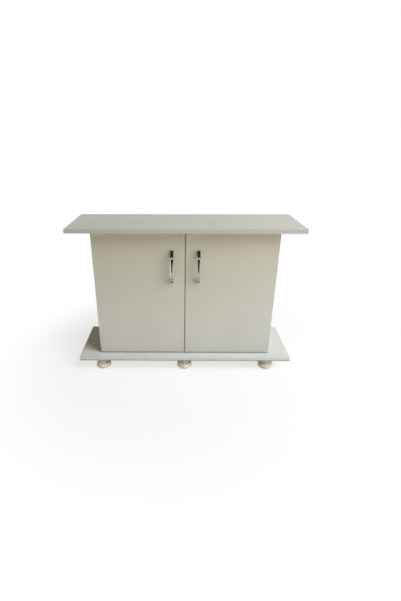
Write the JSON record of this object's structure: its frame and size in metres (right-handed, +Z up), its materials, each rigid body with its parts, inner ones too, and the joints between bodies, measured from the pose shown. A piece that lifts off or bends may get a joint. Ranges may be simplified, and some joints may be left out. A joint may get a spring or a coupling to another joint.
{
  "type": "aquarium stand",
  "caption": "Aquarium stand: a hinged-door cabinet of white board between equal overhanging top and base boards, on turned bun feet, with bow handles and cup hinges.",
  "frame": {"origin": "on the floor under the middle of the stand", "axes": "+X to the right along the boards, +Y to the back (the doors face -Y), +Z up"},
  "size_m": [1, 0.3, 0.691],
  "materials": {
    "white_board": "white melamine-faced chipboard, satin",
    "edge_banding": "white plastic edge band, satin",
    "back_sheet": "thin painted fibreboard",
    "cream_plastic": "cream moulded plastic, semi-gloss",
    "cap_plastic": "white plastic, satin",
    "bright_chrome": "polished chrome plate",
    "nickel_steel": "nickel-plated pressed steel",
    "zinc_steel": "zinc-plated steel"
  },
  "bodies": {
    "carcass": {"back_panel": "back_sheet", "back_panel_nails": "zinc_steel", "base_board": "white_board", "base_board_edging": "edge_banding", "centre_partition": "white_board", "centre_partition_edging": "edge_banding", "connecting_screws": "zinc_steel", "foot_back_left": "cream_plastic", "foot_back_middle": "cream_plastic", "foot_back_right": "cream_plastic", "foot_front_left": "cream_plastic", "foot_front_middle": "cream_plastic", "foot_front_right": "cream_plastic", "foot_screws": "zinc_steel", "hinge_arm_screws": "zinc_steel", "hinge_plate_screws": "zinc_steel", "left_lower_hinge_arm": "nickel_steel", "left_lower_hinge_plate": "nickel_steel", "left_side_panel": "white_board", "left_side_panel_edging": "edge_banding", "left_upper_hinge_arm": "nickel_steel", "left_upper_hinge_plate": "nickel_steel", "right_lower_hinge_arm": "nickel_steel", "right_lower_hinge_plate": "nickel_steel", "right_side_panel": "white_board", "right_side_panel_edging": "edge_banding", "right_upper_hinge_arm": "nickel_steel", "right_upper_hinge_plate": "nickel_steel", "screw_caps": "cap_plastic", "top_board": "white_board", "top_board_edging": "edge_banding"},
    "left_door": {"left_door": "white_board", "left_door_edging": "edge_banding", "left_handle": "bright_chrome", "left_handle_screws": "zinc_steel", "left_hinge_pins": "nickel_steel", "left_cup_screws": "zinc_steel", "left_upper_hinge_cup": "nickel_steel", "left_lower_hinge_cup": "nickel_steel"},
    "right_door": {"right_door": "white_board", "right_door_edging": "edge_banding", "right_handle": "bright_chrome", "right_handle_screws": "zinc_steel", "right_hinge_pins": "nickel_steel", "right_cup_screws": "zinc_steel", "right_upper_hinge_cup": "nickel_steel", "right_lower_hinge_cup": "nickel_steel"}
  },
  "joints": [
    {"name": "left_door_swing", "type": "hinge", "parent": "carcass", "child": "left_door", "pos_m": [-0.3962, -0.0972, 0.373], "axis": [0, 0, -1], "range_deg": [0, 95]},
    {"name": "right_door_swing", "type": "hinge", "parent": "carcass", "child": "right_door", "pos_m": [0.3962, -0.0972, 0.373], "axis": [0, 0, 1], "range_deg": [0, 95]}
  ]
}
